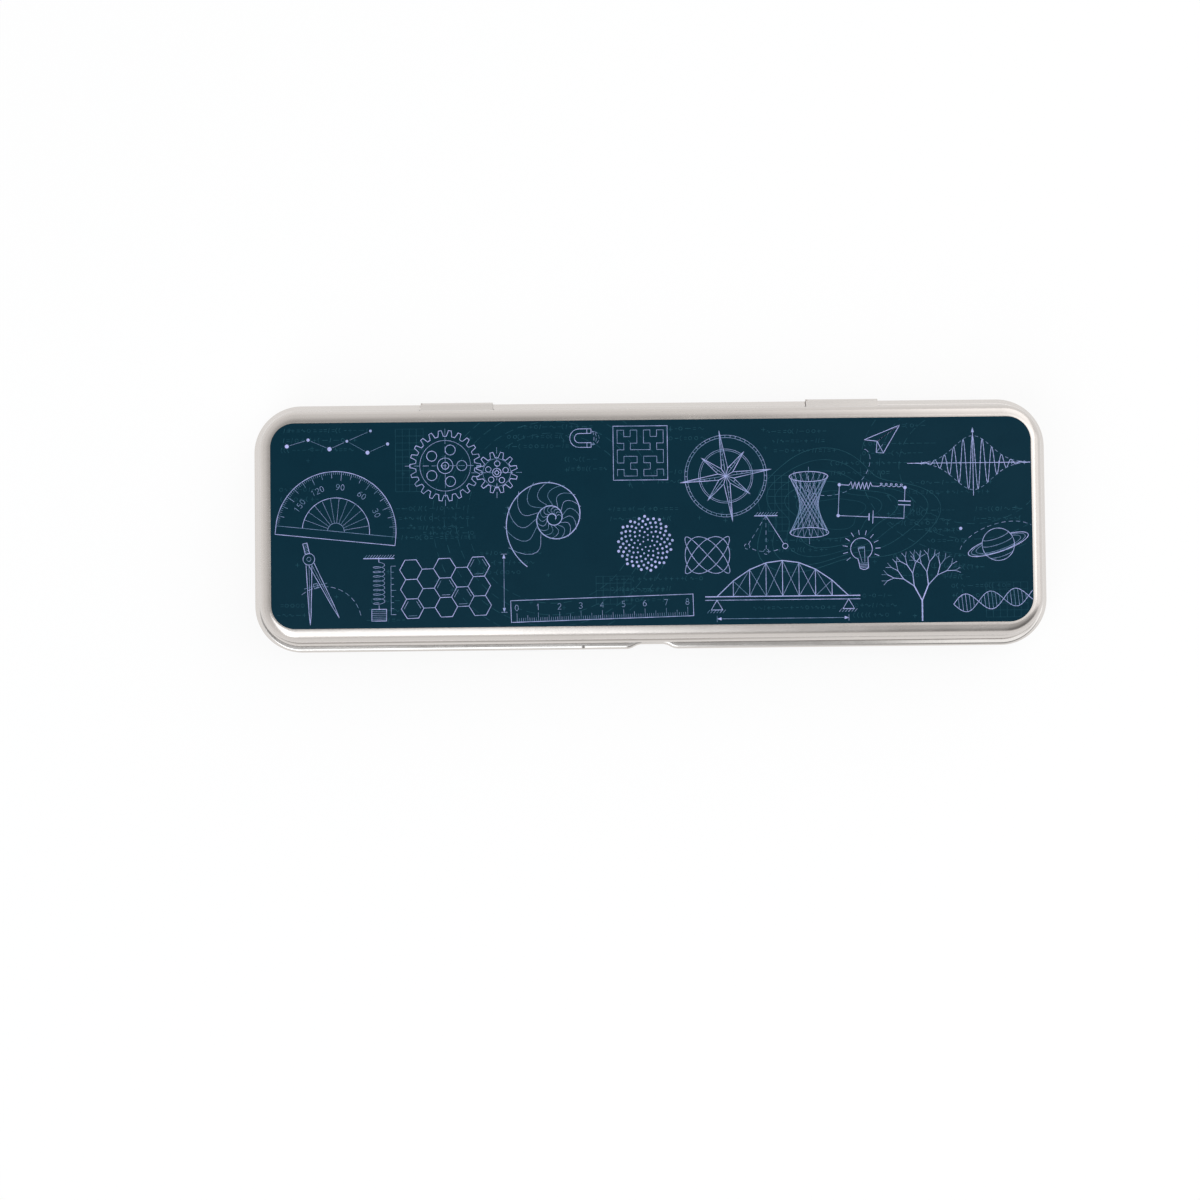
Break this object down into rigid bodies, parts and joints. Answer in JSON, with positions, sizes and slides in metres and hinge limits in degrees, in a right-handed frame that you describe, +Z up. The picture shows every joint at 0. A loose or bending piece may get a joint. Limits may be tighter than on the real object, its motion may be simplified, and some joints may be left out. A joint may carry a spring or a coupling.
{
  "type": "hinged pencil tin",
  "caption": "Long flat hinged tin for pencils: drawn tinplate base and slip-over lid on strap hinges, with a thumb notch in front and a printed panel on the lid.",
  "frame": {"origin": "under the middle of the tin's outline, on the surface it stands on, lid closed", "axes": "+X along the tin to the right as seen from its front, +Y from the thumb notch in front to the hinges behind, +Z up"},
  "size_m": [0.2074, 0.0651, 0.0201],
  "materials": {
    "tinplate": "satin lacquered tinplate, faintly warm silver",
    "print": "printed ink and clear varnish, dark petrol blue with lilac line drawings"
  },
  "bodies": {
    "base": {"base_pan": "tinplate"},
    "lid": {"lid_shell": "tinplate", "lid_print": "print"}
  },
  "joints": [
    {"name": "lid_hinge", "type": "hinge", "parent": "base", "child": "lid", "pos_m": [0, 0.03125, 0.0087], "axis": [-1, 0, 0], "range_deg": [0, 107]}
  ]
}
